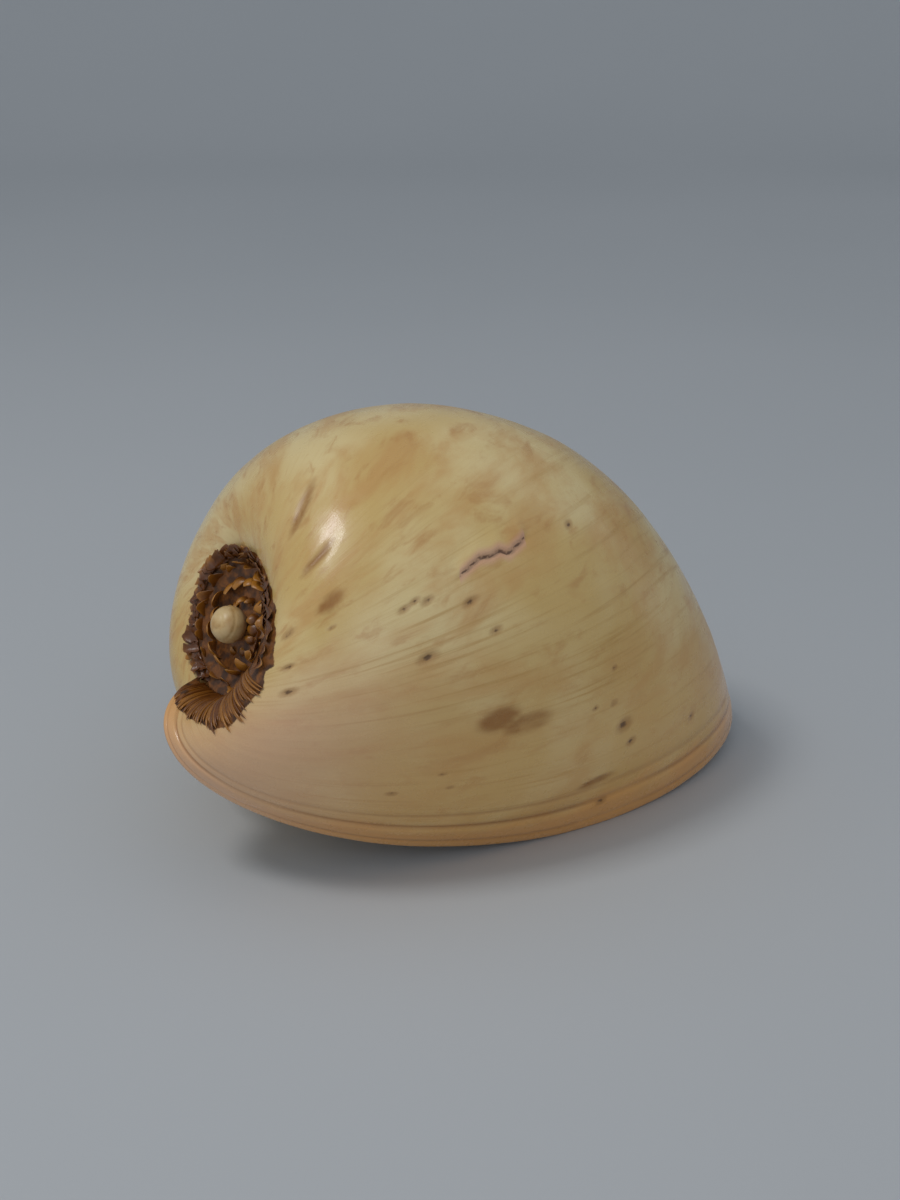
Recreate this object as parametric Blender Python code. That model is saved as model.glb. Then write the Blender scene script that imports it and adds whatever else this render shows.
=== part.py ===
"""A melon shell, the broad shell of a large sea snail, lying on its mouth.

The shell is one piece. A half-plane through its axis cuts a whorl in one curve, which runs from the
suture over the shoulder and the belly to the foot, and this curve grows as it turns round the axis.
The outside is the last turn of that curve, with the low spire above it and the pillar below it.
The hollow is a tube that winds back from the lip. The embryonic shell at the apex, the rings of
scales round it and the ribbed fan beside the suture are fused on.

The growth is worked out in millimetres on the shell's own axis, with the apex at +Z. A turn is one
full turn round that axis: 0 is near the lip, and older growth has negative turns.
"""
import math

import bmesh
import bpy
import numpy as np
from mathutils import Matrix

MM = 0.001

# Growth: each outline gives one size of the whorl at these turns, and a smooth curve joins them.
TURNS = (-3.0, -2.0, -1.5, -1.0, -0.75, -0.5, -0.25, 0.0, 0.25)
BELLY_RADIUS = (9.0, 17.0, 25.0, 40.0, 50.0, 56.0, 74.5, 69.5, 67.0)
BELLY_HEIGHT = (-14.0, -18.5, -22.5, -31.0, -37.5, -44.5, -58.0, -79.0, -104.0)
FOOT_HEIGHT = (-32.0, -55.0, -74.0, -96.0, -115.0, -137.0, -139.0, -191.5, -197.5)
SUTURE_RADIUS = (2.5, 6.5, 10.5, 16.5, 18.5, 19.3, 19.7, 20.0, 20.4)
SHOULDER_WIDTH = (1.4, 2.5, 3.5, 5.5, 6.7, 7.5, 12.0, 13.5, 8.8)
SHOULDER_RISE = (-9.0, -7.5, -5.5, -0.5, 1.5, 0.5, 7.0, 14.7, 17.0)
SUTURE_HEIGHT = 1.8
SUTURE_CLIMB = 2.2
FOOT_RADIUS = 12.1
FOOT_POWER = 0.7

# Places along a section: 0 is the suture, 1 is the foot.
SHOULDER_PLACE = 0.14
BELLY_PLACE = 0.45
SHOULDER_FULLNESS = 1.09
FOOT_FULLNESS = 0.98
FOOT_DROP = 0.92

# The lip runs ahead at the suture, falls back at the foot and has the canal's notch near the foot.
LIP_AHEAD_DEG = 82.0
LIP_SWEEP = 3.8
LIP_BACK_DEG = 37.0
LIP_STRAIGHT = 0.06
LIP_FLAT = 0.072
LIP_SLANTED = 0.1
NOTCH_DEG = 16.0
NOTCH_START = 0.86
NOTCH_END = 0.96
FASCIOLE_HEIGHT = 1.5
FASCIOLE_PLACE = 0.88
FASCIOLE_WIDTH = 0.03

WALL = 2.8
DEEP_WALL = 1.8
CALLUS = 0.6
HOLLOW_TURNS = 1.2
PLEATS = (0.25, 0.5, 0.75)
PLEAT_HEIGHT = 2.4
PLEAT_WIDTH = 0.05
PILLAR_TIP = 8.0
TIP_STEPS = (0.35, 0.65, 0.88)
PILLAR_FLARE = 3.5
PILLAR_REACH = 9.0
PILLAR_TAPER = 0.3
CANAL_WIDTH = 3.0

# Away from the mouth the outside flows into the pillar in a hollow neck.
NECK_PLACE = 0.80
NECK_REACH = 0.9
NECK_FADE_IN = (0.04, 0.25)
NECK_FADE_OUT = 0.16
NECK_CORNER = 1.9

# The spire: a shallow dish, the embryonic dome in it, and rings of dried scales fused round it.
# Each ring gives its scales, radius, height, lean outwards and thickness. Inner scales lean inwards.
DISH_DEPTH = 2.5
DOME_RADIUS = 4.9
DOME_MIDDLE = 2.0
SCALE_RINGS = {
    "outer_scales": (20, 16.5, 4.6, 1.5, 1.5),
    "inner_plates": (14, 12.6, 4.2, -2.6, 1.7),
    "small_curls": (9, 8.6, 3.4, -1.2, 1.3),
}
SCALE_ROOT = -3.0
SCALE_STEPS = (0.0, 0.3, 0.55, 0.8)
SCALE_OUTLINE = (0.45, 0.95, 1.0, 0.8)
SCALE_SWING = 1.1
SWING_MIDDLE = 0.4
SCALE_BEND = 0.58
UNEVEN = 0.22
UNEVEN_STEP = 2.4
RING_PHASE = 1.7

# The fan: ribs of dried skin that run from the suture out over the youngest shoulder.
FAN_RIBS = 24
FAN_START = -0.092
FAN_END = 0.132
FAN_PLACES = (0.012, 0.06, 0.105, 0.145)
FAN_THICK = 0.5
RIB_HEIGHT = 0.8
FAN_SCALLOP = 0.12
FAN_ROUNDING = 0.25
FAN_ROOT = -0.9

# Lying on the mouth: the apex end points to -X and up, and the shell is rolled about its axis.
AXIS_RISE_DEG = 18.95
ROLL_DEG = -120.18

# Mesh rows and columns.
OUTSIDE_ROWS = 44
HOLLOW_ROWS = 26
PILLAR_COLUMNS = 8
DOME_ROWS = 8
DOME_COLUMNS = 16
PLACES = np.linspace(0, 1, 24)[None, :] ** 1.3
FIRST_OPEN = 5
DISH_RINGS = (0.25, 0.5, 0.75, 0.9)

SHELL_COLOUR = (0.70, 0.55, 0.34, 1.0)


def through(x, xs, ys):
    """A smooth curve through the points (xs, ys), of cubic pieces with slopes from the neighbours."""
    xs, ys, x = np.asarray(xs, float), np.asarray(ys, float), np.asarray(x, float)
    slope = np.gradient(ys, xs)
    i = np.clip(np.searchsorted(xs, x) - 1, 0, len(xs) - 2)
    width = xs[i + 1] - xs[i]
    t = (x - xs[i]) / width
    start = (1 + 2 * t) * (1 - t) ** 2 * ys[i] + t * (1 - t) ** 2 * width * slope[i]
    end = t * t * (3 - 2 * t) * ys[i + 1] + t * t * (t - 1) * width * slope[i + 1]
    return start + end


def bump(x, middle, width):
    """A bell of height 1."""
    return np.exp(-((x - middle) / width) ** 2)


def quarter(place, start, end):
    """How far a place lies between two others, as an angle from 0 to a quarter turn."""
    return np.clip((place - start) / (end - start), 0, 1) * math.pi / 2


def pillar_radius(height):
    """The pillar widens towards its lower end."""
    return FOOT_RADIUS * (np.minimum(height, -1) / FOOT_HEIGHT[TURNS.index(0.0)]) ** FOOT_POWER


def foot(turn):
    """Radius and height of a whorl's foot, where it meets the pillar."""
    height = through(turn, TURNS, FOOT_HEIGHT)
    return pillar_radius(height) + PILLAR_FLARE * np.clip(turn + 1, 0, 1), height


def section(turn, place):
    """Radius and height of the whorl's outer face: three quarter ovals, end to end."""
    turn, place = np.broadcast_arrays(np.asarray(turn, float), np.asarray(place, float))
    belly = through(turn, TURNS, BELLY_RADIUS)
    belly_height = through(turn, TURNS, BELLY_HEIGHT)
    foot_radius, foot_height = foot(turn)
    suture = through(turn, TURNS, SUTURE_RADIUS)
    suture_height = SUTURE_HEIGHT * SUTURE_CLIMB ** turn
    width = through(turn, TURNS, SHOULDER_WIDTH)
    rise = through(turn, TURNS, SHOULDER_RISE)
    shoulder = suture + width
    shoulder_height = suture_height + rise
    a = quarter(place, 0, SHOULDER_PLACE)
    b = quarter(place, SHOULDER_PLACE, BELLY_PLACE)
    c = quarter(place, BELLY_PLACE, 1)
    top = (shoulder - width * np.cos(a), suture_height + rise * np.sin(a))
    side = (shoulder + (belly - shoulder) * np.sin(b) ** SHOULDER_FULLNESS,
            belly_height + (shoulder_height - belly_height) * np.cos(b) ** SHOULDER_FULLNESS)
    base = (foot_radius + (belly - foot_radius) * np.cos(c) ** FOOT_FULLNESS,
            belly_height + (foot_height - belly_height) * np.sin(c) ** FOOT_DROP
            - FASCIOLE_HEIGHT * bump(place, FASCIOLE_PLACE, FASCIOLE_WIDTH))
    radius, height = (np.where(place < SHOULDER_PLACE, t, np.where(place < BELLY_PLACE, s, f))
                      for t, s, f in zip(top, side, base))
    return radius, height


def offset_section(turn, place, distance):
    """The section moved outwards, square to its curve in the half-plane."""
    step = 0.015
    before, after = np.clip(place - step, 0, 1), np.clip(place + step, 0, 1)
    radius_before, height_before = section(turn, before)
    radius_after, height_after = section(turn, after)
    along_radius, along_height = radius_after - radius_before, height_after - height_before
    length = np.hypot(along_radius, along_height)
    radius, height = section(turn, place)
    return radius - distance * along_height / length, height + distance * along_radius / length


def lip(place):
    """The turn at which the shell ends, at each place of its section."""
    past = np.clip(place - LIP_STRAIGHT, 0, 1) * np.sin(quarter(place, LIP_FLAT, LIP_SLANTED)) ** 2
    slant = LIP_AHEAD_DEG * (1 - past) ** LIP_SWEEP - LIP_BACK_DEG * place ** 2
    into_notch = np.sin(quarter(place, NOTCH_START, NOTCH_END)) ** 2
    return (slant - NOTCH_DEG * into_notch) / 360


def pillar_end():
    """Height at which the pillar begins to close to its tip."""
    return foot(lip(1.0))[1] - PILLAR_REACH


def necked(turn, place, age, radius, height):
    """The outside near the foot, drawn down into the hollow neck. Age is 1 at the lip."""
    share = np.sin(quarter(age, *NECK_FADE_IN)) ** 2 * np.sin(quarter(1 - age, 0, NECK_FADE_OUT)) ** 2
    start_radius, start_height = section(turn, np.full_like(place, NECK_PLACE))
    foot_radius, foot_height = foot(turn)
    corner_height = start_height + NECK_CORNER * (foot_height - start_height)
    end_height = foot_height + NECK_REACH * (pillar_end() - foot_height)
    end_radius = pillar_radius(end_height) + PILLAR_FLARE * age
    s = np.clip((place - NECK_PLACE) / (1 - NECK_PLACE), 0, 1)
    curve = [(1 - s) ** 2 * a + 2 * s * (1 - s) * b + s * s * c
             for a, b, c in ((start_radius, foot_radius + PILLAR_FLARE, end_radius),
                             (start_height, corner_height, end_height))]
    share = share * (s > 0)
    return radius + share * (curve[0] - radius), height + share * (curve[1] - height)


def on_axis(radius, turn, height):
    """Points from radius, turn and height. Growth runs clockwise, seen from the apex."""
    radius, turn, height = np.broadcast_arrays(radius, turn, height)
    angle = 2 * math.pi * turn
    return np.stack([radius * np.cos(angle), -radius * np.sin(angle), height], -1) * MM


def mesh_object(name, points, faces, collection):
    """An object from points and faces, with its faces turned outwards."""
    mesh = bpy.data.meshes.new(name)
    mesh.from_pydata([tuple(p) for p in points], [], [tuple(map(int, f)) for f in faces])
    work = bmesh.new()
    work.from_mesh(mesh)
    bmesh.ops.recalc_face_normals(work, faces=work.faces)
    work.to_mesh(mesh)
    work.free()
    made = bpy.data.objects.new(name, mesh)
    collection.objects.link(made)
    return made


def quads(grid, wrap_columns=False):
    """Faces between the neighbours of a grid of vertex numbers."""
    if wrap_columns:
        grid = np.concatenate([grid, grid[:, :1]], 1)
    corners = [grid[:-1, :-1], grid[1:, :-1], grid[1:, 1:], grid[:-1, 1:]]
    return np.stack(corners, -1).reshape(-1, 4).tolist()


def outside_points():
    """The spire dish, the last whorl and the pillar below it, a row for each step of growth."""
    u = np.linspace(0, 1, OUTSIDE_ROWS + 1)[:, None]
    dish = np.array(DISH_RINGS)[None, :]
    turn = lip(0.0) - 1 + u
    radius = through(turn, TURNS, SUTURE_RADIUS) * dish
    height = SUTURE_HEIGHT * SUTURE_CLIMB ** turn - DISH_DEPTH * np.sin(math.pi * dish)
    columns = [on_axis(radius, turn, height)]

    turn = lip(PLACES) - 1 + u
    whorl = necked(turn, PLACES, u, *section(turn, PLACES))
    columns.append(on_axis(*reorder(turn, whorl)))

    turn = lip(1.0) - 1 + u
    start, end = whorl[1][:, -1:], pillar_end()
    along = np.linspace(0, 1, PILLAR_COLUMNS + 1)[None, 1:]
    height = start + along * (end - start)
    radius = (pillar_radius(height) + PILLAR_FLARE * u) * (1 - PILLAR_TAPER * along ** 2)
    columns.append(on_axis(radius, turn, height))
    end_radius = radius[:, -1:]
    along = np.array(TIP_STEPS)[None, :]
    columns.append(on_axis(end_radius * np.sqrt(1 - along ** 2), turn, end - PILLAR_TIP * along - u))
    return np.concatenate(columns, 1)


def reorder(turn, radius_and_height):
    """Radius, turn and height, in the order that on_axis takes."""
    radius, height = radius_and_height
    return radius, turn, height


def inside_points():
    """The hollow, a ring for each step back from the lip: outer wall, pillar, whorl before."""
    u = np.linspace(0, HOLLOW_TURNS, HOLLOW_ROWS)[:, None]
    follow = 1 - u / HOLLOW_TURNS
    place = PLACES[:, FIRST_OPEN:]
    turn = lip(place) * follow - u
    wall = WALL + (DEEP_WALL - WALL) * np.clip(u, 0, 1)
    radius, height = offset_section(turn, place, -wall)
    outer = on_axis(np.maximum(radius, pillar_radius(height) + CANAL_WIDTH), turn, height)
    inner = on_axis(*reorder(turn, offset_section(turn - 1, place, CALLUS)))

    along = np.linspace(0, 1, PILLAR_COLUMNS + 1)[None, 1:]
    turn = lip(1.0) * follow - u
    high, low = foot(turn - 1)[1] - CALLUS, foot(turn)[1] + WALL
    height = high + along * (low - high)
    folds = sum(bump(along, pleat, PLEAT_WIDTH) for pleat in PLEATS)
    folds = PLEAT_HEIGHT * folds * np.clip(u / 0.04, 0, 1) * np.clip(2 * follow, 0, 1)
    core = on_axis(pillar_radius(height) + CALLUS + folds, turn, height)
    return outer, core, inner


def make_shell(collection):
    """One closed surface: over the outside, round the rim of the mouth and into the hollow."""
    outside = outside_points()
    outer, core, inner = inside_points()
    ring = np.concatenate([outer, core[:, ::-1], inner[:, ::-1]], 1)
    tip_height = outside[..., 2].min() / MM - 0.6
    poles = on_axis(0, 0, np.array([SUTURE_HEIGHT, tip_height]))
    points = np.concatenate([outside.reshape(-1, 3), ring.reshape(-1, 3), poles])
    out = np.arange(outside.shape[0] * outside.shape[1]).reshape(outside.shape[:2])
    tube = out.size + np.arange(ring.shape[0] * ring.shape[1]).reshape(ring.shape[:2])
    top, bottom = len(points) - 2, len(points) - 1
    faces = quads(out) + quads(tube, wrap_columns=True)
    for row in range(OUTSIDE_ROWS):
        faces.append((top, out[row, 0], out[row + 1, 0]))
        faces.append((bottom, out[row, -1], out[row + 1, -1]))

    first = len(DISH_RINGS) + FIRST_OPEN
    foot_column = len(DISH_RINGS) + PLACES.size - 1
    end_column = foot_column + PILLAR_COLUMNS
    old, new = out[0], out[-1]
    count = outer.shape[1]
    for row in (0, -1):
        lip_ring, core_ring, whorl_ring = np.split(tube[row], (count, count + PILLAR_COLUMNS))
        whorl_ring, core_ring = whorl_ring[::-1], core_ring[::-1]
        if row == 0:
            faces += quads(np.stack([new[first:foot_column + 1], lip_ring]))
            faces += quads(np.stack([old[first:foot_column + 1], whorl_ring]))
            core_ring = np.concatenate([whorl_ring[-1:], core_ring])
            faces += quads(np.stack([old[foot_column:end_column + 1], core_ring]))
            faces.append((new[first], lip_ring[0], whorl_ring[0], old[first]))
            faces.append((new[foot_column], lip_ring[-1], core_ring[-1]))
            faces += [(core_ring[-1], new[c], new[c + 1]) for c in range(foot_column, end_column)]
            faces.append((core_ring[-1], new[end_column], old[end_column]))
        else:
            faces += quads(np.stack([lip_ring, whorl_ring]))
            core_ring = np.concatenate([whorl_ring[-1:], core_ring])
            faces += [(lip_ring[-1], core_ring[k], core_ring[k + 1]) for k in range(PILLAR_COLUMNS)]
    flat = len(DISH_RINGS) + int((PLACES < LIP_FLAT).sum())
    faces.append([top] + old[:flat].tolist() + new[:flat][::-1].tolist())
    faces += quads(np.stack([old[flat - 1:first + 1], new[flat - 1:first + 1]]))
    faces += quads(np.stack([old[end_column:], new[end_column:]]))
    faces.append((bottom, old[-1], new[-1]))
    return mesh_object("shell", points, faces, collection)


def scale_ring(name, number, collection):
    """A closed band round the axis. Its upper edge rises and swings out in a row of scales."""
    count, radius, height, lean, thick = SCALE_RINGS[name]
    steps = len(SCALE_STEPS)
    scale, step = np.divmod(np.arange(count * steps), steps)
    turn = (scale + np.array(SCALE_STEPS)[step]) / count
    uneven = 1 + UNEVEN * np.sin(scale * UNEVEN_STEP + number * RING_PHASE)
    top = height * np.array(SCALE_OUTLINE)[step] * uneven
    swing = SCALE_SWING * (np.array(SCALE_STEPS)[step] - SWING_MIDDLE)
    foot_radius = radius + swing
    tip_radius = radius + swing + lean * top / height
    band = [on_axis(foot_radius + thick / 2, turn, SCALE_ROOT),
            on_axis((foot_radius + tip_radius) / 2 + thick / 2, turn, top * SCALE_BEND),
            on_axis(tip_radius + thick / 4, turn, top),
            on_axis(tip_radius - thick / 4, turn, top),
            on_axis((foot_radius + tip_radius) / 2 - thick / 2, turn, top * SCALE_BEND),
            on_axis(foot_radius - thick / 2, turn, SCALE_ROOT)]
    points = np.stack(band, 1)
    grid = np.arange(points.shape[0] * points.shape[1]).reshape(points.shape[:2])
    grid = np.concatenate([grid, grid[:1]])
    return mesh_object(name, points.reshape(-1, 3), quads(grid, wrap_columns=True), collection)


def rib_fan(collection):
    """A closed sheet over the shoulder by the suture, ribbed on top, with its far edge scalloped."""
    turn = np.linspace(FAN_START, FAN_END, 2 * FAN_RIBS + 1)[:, None]
    on_rib = np.arange(2 * FAN_RIBS + 1)[:, None] % 2
    place = np.array(FAN_PLACES)[None, :]
    off_middle = (2 * turn - FAN_START - FAN_END) / (FAN_END - FAN_START)
    place = place * (1 - FAN_SCALLOP * (1 - on_rib) - FAN_ROUNDING * off_middle ** 2)
    above = offset_section(turn, place, FAN_THICK + RIB_HEIGHT * on_rib * np.ones(place.shape))
    below = offset_section(turn, place, FAN_ROOT * np.ones(place.shape))
    top, bottom = on_axis(*reorder(turn, above)), on_axis(*reorder(turn, below))
    points = np.concatenate([top, bottom[:, ::-1]], 1)
    grid = np.arange(points.shape[0] * points.shape[1]).reshape(points.shape[:2])
    faces = quads(grid, wrap_columns=True) + [grid[0].tolist(), grid[-1, ::-1].tolist()]
    return mesh_object("rib_fan", points.reshape(-1, 3), faces, collection)


def dome(collection):
    """The embryonic shell: a ball set low in the dish."""
    polar = np.linspace(0, math.pi, DOME_ROWS + 1)[1:-1, None]
    turn = np.linspace(0, 1, DOME_COLUMNS, endpoint=False)[None, :]
    ball = on_axis(DOME_RADIUS * np.sin(polar), turn, DOME_MIDDLE + DOME_RADIUS * np.cos(polar))
    poles = on_axis(0, 0, DOME_MIDDLE + DOME_RADIUS * np.array([1, -1]))
    points = np.concatenate([ball.reshape(-1, 3), poles])
    grid = np.arange(ball.shape[0] * ball.shape[1]).reshape(ball.shape[:2])
    faces = quads(grid, wrap_columns=True)
    for row, pole in ((grid[0], len(points) - 2), (grid[-1], len(points) - 1)):
        faces += [(pole, int(a), int(b)) for a, b in zip(row, np.roll(row, -1))]
    return mesh_object("dome", points, faces, collection)


def fuse(shell, pieces):
    """Join closed shapes to the shell, so that they are one body with it."""
    for piece in pieces:
        piece.hide_render = True
        piece.display_type = "WIRE"
        union = shell.modifiers.new(piece.name, "BOOLEAN")
        union.operation = "UNION"
        union.solver = "EXACT"
        union.object = piece


def lay_down(shell, pieces):
    """Turn all from the shell's axis to how it lies, with its box's base centre at the origin."""
    pose = Matrix.Rotation(math.radians(AXIS_RISE_DEG - 90), 4, "Y")
    pose @= Matrix.Rotation(math.radians(ROLL_DEG), 4, "Z")
    shell.data.transform(pose)
    corners = np.empty(len(shell.data.vertices) * 3, np.float32)
    shell.data.vertices.foreach_get("co", corners)
    corners = corners.reshape(-1, 3)
    low, high = corners.min(0), corners.max(0)
    middle = (low + high) / 2
    to_origin = Matrix.Translation((-middle[0], -middle[1], -low[2]))
    shell.data.transform(to_origin)
    for piece in pieces:
        piece.data.transform(to_origin @ pose)
    for laid in [shell] + pieces:
        laid.data.shade_smooth()
        laid.data.set_sharp_from_angle(angle=math.radians(40))


def shell_material():
    """Pale cream, glossy shell."""
    material = bpy.data.materials.new("glossy_shell")
    material.use_nodes = True
    surface = material.node_tree.nodes["Principled BSDF"]
    surface.inputs["Base Color"].default_value = SHELL_COLOUR
    surface.inputs["Roughness"].default_value = 0.3
    surface.inputs["Metallic"].default_value = 0.0
    return material


def main():
    """Build the shell, fuse on what stands in the spire, and lay it down."""
    for old in list(bpy.data.objects):
        bpy.data.objects.remove(old, do_unlink=True)
    parts = bpy.data.collections.new("melon_shell")
    bpy.context.scene.collection.children.link(parts)
    operands = bpy.data.collections.new("cutters")
    operands.hide_render = True
    bpy.context.scene.collection.children.link(operands)
    shell = make_shell(parts)
    shell.data.materials.append(shell_material())
    pieces = [scale_ring(name, number, operands) for number, name in enumerate(SCALE_RINGS)]
    pieces += [rib_fan(operands), dome(operands)]
    lay_down(shell, pieces)
    fuse(shell, pieces)


main()
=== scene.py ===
"""The look of a melon shell, the broad shell of a large sea snail, lying on its mouth.

The main surface follows the same growth as the solid: a half-plane through the axis cuts a whorl in one
curve, from the suture over the shoulder and the belly to the foot, and that curve grows as it turns.
Relief (lumps, growth lines, dents, pits, a healed break) moves that surface square to itself.
Round the apex stand the dome of the embryonic shell, dried scales, and a ribbed fan at the suture.

Growth is worked out in millimetres on the shell's own axis, with the apex at +Z. A turn is one full
turn round the axis. Age runs from 0, one turn back from the lip, to 1 at the lip.
"""

import math

import bmesh
import bpy
import numpy as np
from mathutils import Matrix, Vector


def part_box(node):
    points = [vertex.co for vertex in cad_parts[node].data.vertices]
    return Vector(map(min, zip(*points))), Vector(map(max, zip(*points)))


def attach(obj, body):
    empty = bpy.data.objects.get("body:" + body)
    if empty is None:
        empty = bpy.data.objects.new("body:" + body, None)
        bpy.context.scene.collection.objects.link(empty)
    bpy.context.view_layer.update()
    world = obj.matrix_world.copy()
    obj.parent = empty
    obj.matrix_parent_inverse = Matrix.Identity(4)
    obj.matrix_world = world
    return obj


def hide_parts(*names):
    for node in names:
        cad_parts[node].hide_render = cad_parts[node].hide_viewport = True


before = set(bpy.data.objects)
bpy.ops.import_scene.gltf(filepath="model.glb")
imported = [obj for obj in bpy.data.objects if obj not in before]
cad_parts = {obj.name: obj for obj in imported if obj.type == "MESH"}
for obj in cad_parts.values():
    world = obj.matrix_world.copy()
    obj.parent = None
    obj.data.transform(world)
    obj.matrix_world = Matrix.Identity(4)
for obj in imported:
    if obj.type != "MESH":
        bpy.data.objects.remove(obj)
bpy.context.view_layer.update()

# Growth: each outline gives one size of the whorl at these turns, and a smooth curve joins them.
TURNS = (-3.0, -2.0, -1.5, -1.0, -0.75, -0.5, -0.25, 0.0, 0.25)
BELLY_RADIUS = (9.0, 17.0, 25.0, 40.0, 50.0, 56.0, 74.5, 69.5, 67.0)
BELLY_HEIGHT = (-14.0, -18.5, -22.5, -31.0, -37.5, -44.5, -58.0, -79.0, -104.0)
FOOT_HEIGHT = (-32.0, -55.0, -74.0, -96.0, -115.0, -137.0, -139.0, -191.5, -197.5)
SUTURE_RADIUS = (2.5, 6.5, 10.5, 16.5, 18.5, 19.3, 19.7, 20.0, 20.4)
SHOULDER_WIDTH = (1.4, 2.5, 3.5, 5.5, 6.7, 7.5, 12.0, 13.5, 8.8)
SHOULDER_RISE = (-9.0, -7.5, -5.5, -0.5, 1.5, 0.5, 7.0, 14.7, 17.0)
SUTURE_HEIGHT = 1.8
SUTURE_CLIMB = 2.2
FOOT_RADIUS = 12.1
FOOT_POWER = 0.7

# Places along a section: 0 is the suture, 1 is the foot.
SHOULDER_PLACE = 0.14
BELLY_PLACE = 0.45
SHOULDER_FULLNESS = 1.09
FOOT_FULLNESS = 0.98
FOOT_DROP = 0.92

# The lip runs ahead at the suture, falls back at the foot and has the canal's notch near the foot.
LIP_AHEAD_DEG = 88.0
LIP_SWEEP = 3.2
LIP_BACK_DEG = 37.0
NOTCH_DEG = 16.0
NOTCH_START = 0.86
NOTCH_END = 0.96
FASCIOLE_HEIGHT = 1.5
FASCIOLE_PLACE = 0.88
FASCIOLE_WIDTH = 0.03

WALL = 2.8
DEEP_WALL = 1.8
CALLUS = 0.6
HOLLOW_TURNS = 1.2
HOLLOW_PLACE = 0.1376
PLEATS = (0.25, 0.5, 0.75)
PLEAT_HEIGHT = 2.4
PLEAT_WIDTH = 0.05
PILLAR_TIP = 8.0
PILLAR_FLARE = 3.5
PILLAR_REACH = 9.0
PILLAR_TAPER = 0.3
CANAL_WIDTH = 3.0

# Away from the mouth the outside flows into the pillar in a hollow neck.
NECK_PLACE = 0.80
NECK_REACH = 0.9
NECK_FADE_IN = (0.04, 0.25)
NECK_FADE_OUT = 0.16
NECK_CORNER = 1.9
DISH_DEPTH = 2.5
RIM_ROUND = 1.3

# How the shell lies: the apex end points to -X and up, and the shell is rolled about its axis.
AXIS_RISE_DEG = 18.95
ROLL_DEG = -120.18

# Rough lengths of one turn of age and of one whole section, by which marks and colours are sized.
AGE_MM = 440.0
SECTION_MM = 240.0


def through(x, xs, ys):
    """A smooth curve through the points (xs, ys), of cubic pieces with slopes from the neighbours."""
    xs, ys, x = np.asarray(xs, float), np.asarray(ys, float), np.asarray(x, float)
    slope = np.gradient(ys, xs)
    i = np.clip(np.searchsorted(xs, x) - 1, 0, len(xs) - 2)
    width = xs[i + 1] - xs[i]
    t = (x - xs[i]) / width
    start = (1 + 2 * t) * (1 - t) ** 2 * ys[i] + t * (1 - t) ** 2 * width * slope[i]
    end = t * t * (3 - 2 * t) * ys[i + 1] + t * t * (t - 1) * width * slope[i + 1]
    return start + end


def bump(x, middle, width):
    """A bell of height 1."""
    return np.exp(-((x - middle) / width) ** 2)


def smooth(x, low, high):
    """0 below low, 1 above high, with an S-shaped rise between."""
    t = np.clip((x - low) / (high - low), 0, 1)
    return t * t * (3 - 2 * t)


def quarter(place, start, end):
    """How far a place lies between two others, as an angle from 0 to a quarter turn."""
    return np.clip((place - start) / (end - start), 0, 1) * math.pi / 2


def pillar_radius(height):
    """The pillar widens towards its lower end."""
    return FOOT_RADIUS * (np.minimum(height, -1) / FOOT_HEIGHT[TURNS.index(0.0)]) ** FOOT_POWER


def foot(turn):
    """Radius and height of a whorl's foot, where it meets the pillar."""
    height = through(turn, TURNS, FOOT_HEIGHT)
    return pillar_radius(height) + PILLAR_FLARE * np.clip(turn + 1, 0, 1), height


def sharp_section(turn, place):
    """Radius and height of the whorl's outer face: three quarter ovals, end to end."""
    turn, place = np.broadcast_arrays(np.asarray(turn, float), np.asarray(place, float))
    belly = through(turn, TURNS, BELLY_RADIUS)
    belly_height = through(turn, TURNS, BELLY_HEIGHT)
    foot_radius, foot_height = foot(turn)
    suture = through(turn, TURNS, SUTURE_RADIUS)
    suture_height = SUTURE_HEIGHT * SUTURE_CLIMB ** turn
    width = through(turn, TURNS, SHOULDER_WIDTH)
    rise = through(turn, TURNS, SHOULDER_RISE)
    shoulder = suture + width
    shoulder_height = suture_height + rise
    a = quarter(place, 0, SHOULDER_PLACE)
    b = quarter(place, SHOULDER_PLACE, BELLY_PLACE)
    c = quarter(place, BELLY_PLACE, 1)
    top = (shoulder - width * np.cos(a), suture_height + rise * np.sin(a))
    side = (shoulder + (belly - shoulder) * np.sin(b) ** SHOULDER_FULLNESS,
            belly_height + (shoulder_height - belly_height) * np.cos(b) ** SHOULDER_FULLNESS)
    base = (foot_radius + (belly - foot_radius) * np.cos(c) ** FOOT_FULLNESS,
            belly_height + (foot_height - belly_height) * np.sin(c) ** FOOT_DROP
            - FASCIOLE_HEIGHT * bump(place, FASCIOLE_PLACE, FASCIOLE_WIDTH))
    radius, height = (np.where(place < SHOULDER_PLACE, t, np.where(place < BELLY_PLACE, s, f))
                      for t, s, f in zip(top, side, base))
    return radius, height


def section(turn, place):
    """The section averaged over five near places, so that its ovals flow into each other."""
    room = np.minimum(np.minimum(place, 1 - place), 0.025)
    near = [sharp_section(turn, place + room * k) for k in (-1, -0.5, 0, 0.5, 1)]
    weights = (0.1, 0.2, 0.4, 0.2, 0.1)
    return tuple(sum(w * n[part] for w, n in zip(weights, near)) for part in (0, 1))


def offset_section(turn, place, distance):
    """The section moved outwards, square to its curve in the half-plane."""
    step = 0.006
    before, after = np.clip(place - step, 0, 1), np.clip(place + step, 0, 1)
    radius_before, height_before = section(turn, before)
    radius_after, height_after = section(turn, after)
    along_radius, along_height = radius_after - radius_before, height_after - height_before
    length = np.hypot(along_radius, along_height)
    radius, height = section(turn, place)
    return radius - distance * along_height / length, height + distance * along_radius / length


def lip(place):
    """The turn at which the shell ends, at each place of its section."""
    slant = LIP_AHEAD_DEG * (1 - place) ** LIP_SWEEP - LIP_BACK_DEG * place ** 2
    into_notch = np.sin(quarter(place, NOTCH_START, NOTCH_END)) ** 2
    return (slant - NOTCH_DEG * into_notch) / 360


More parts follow.
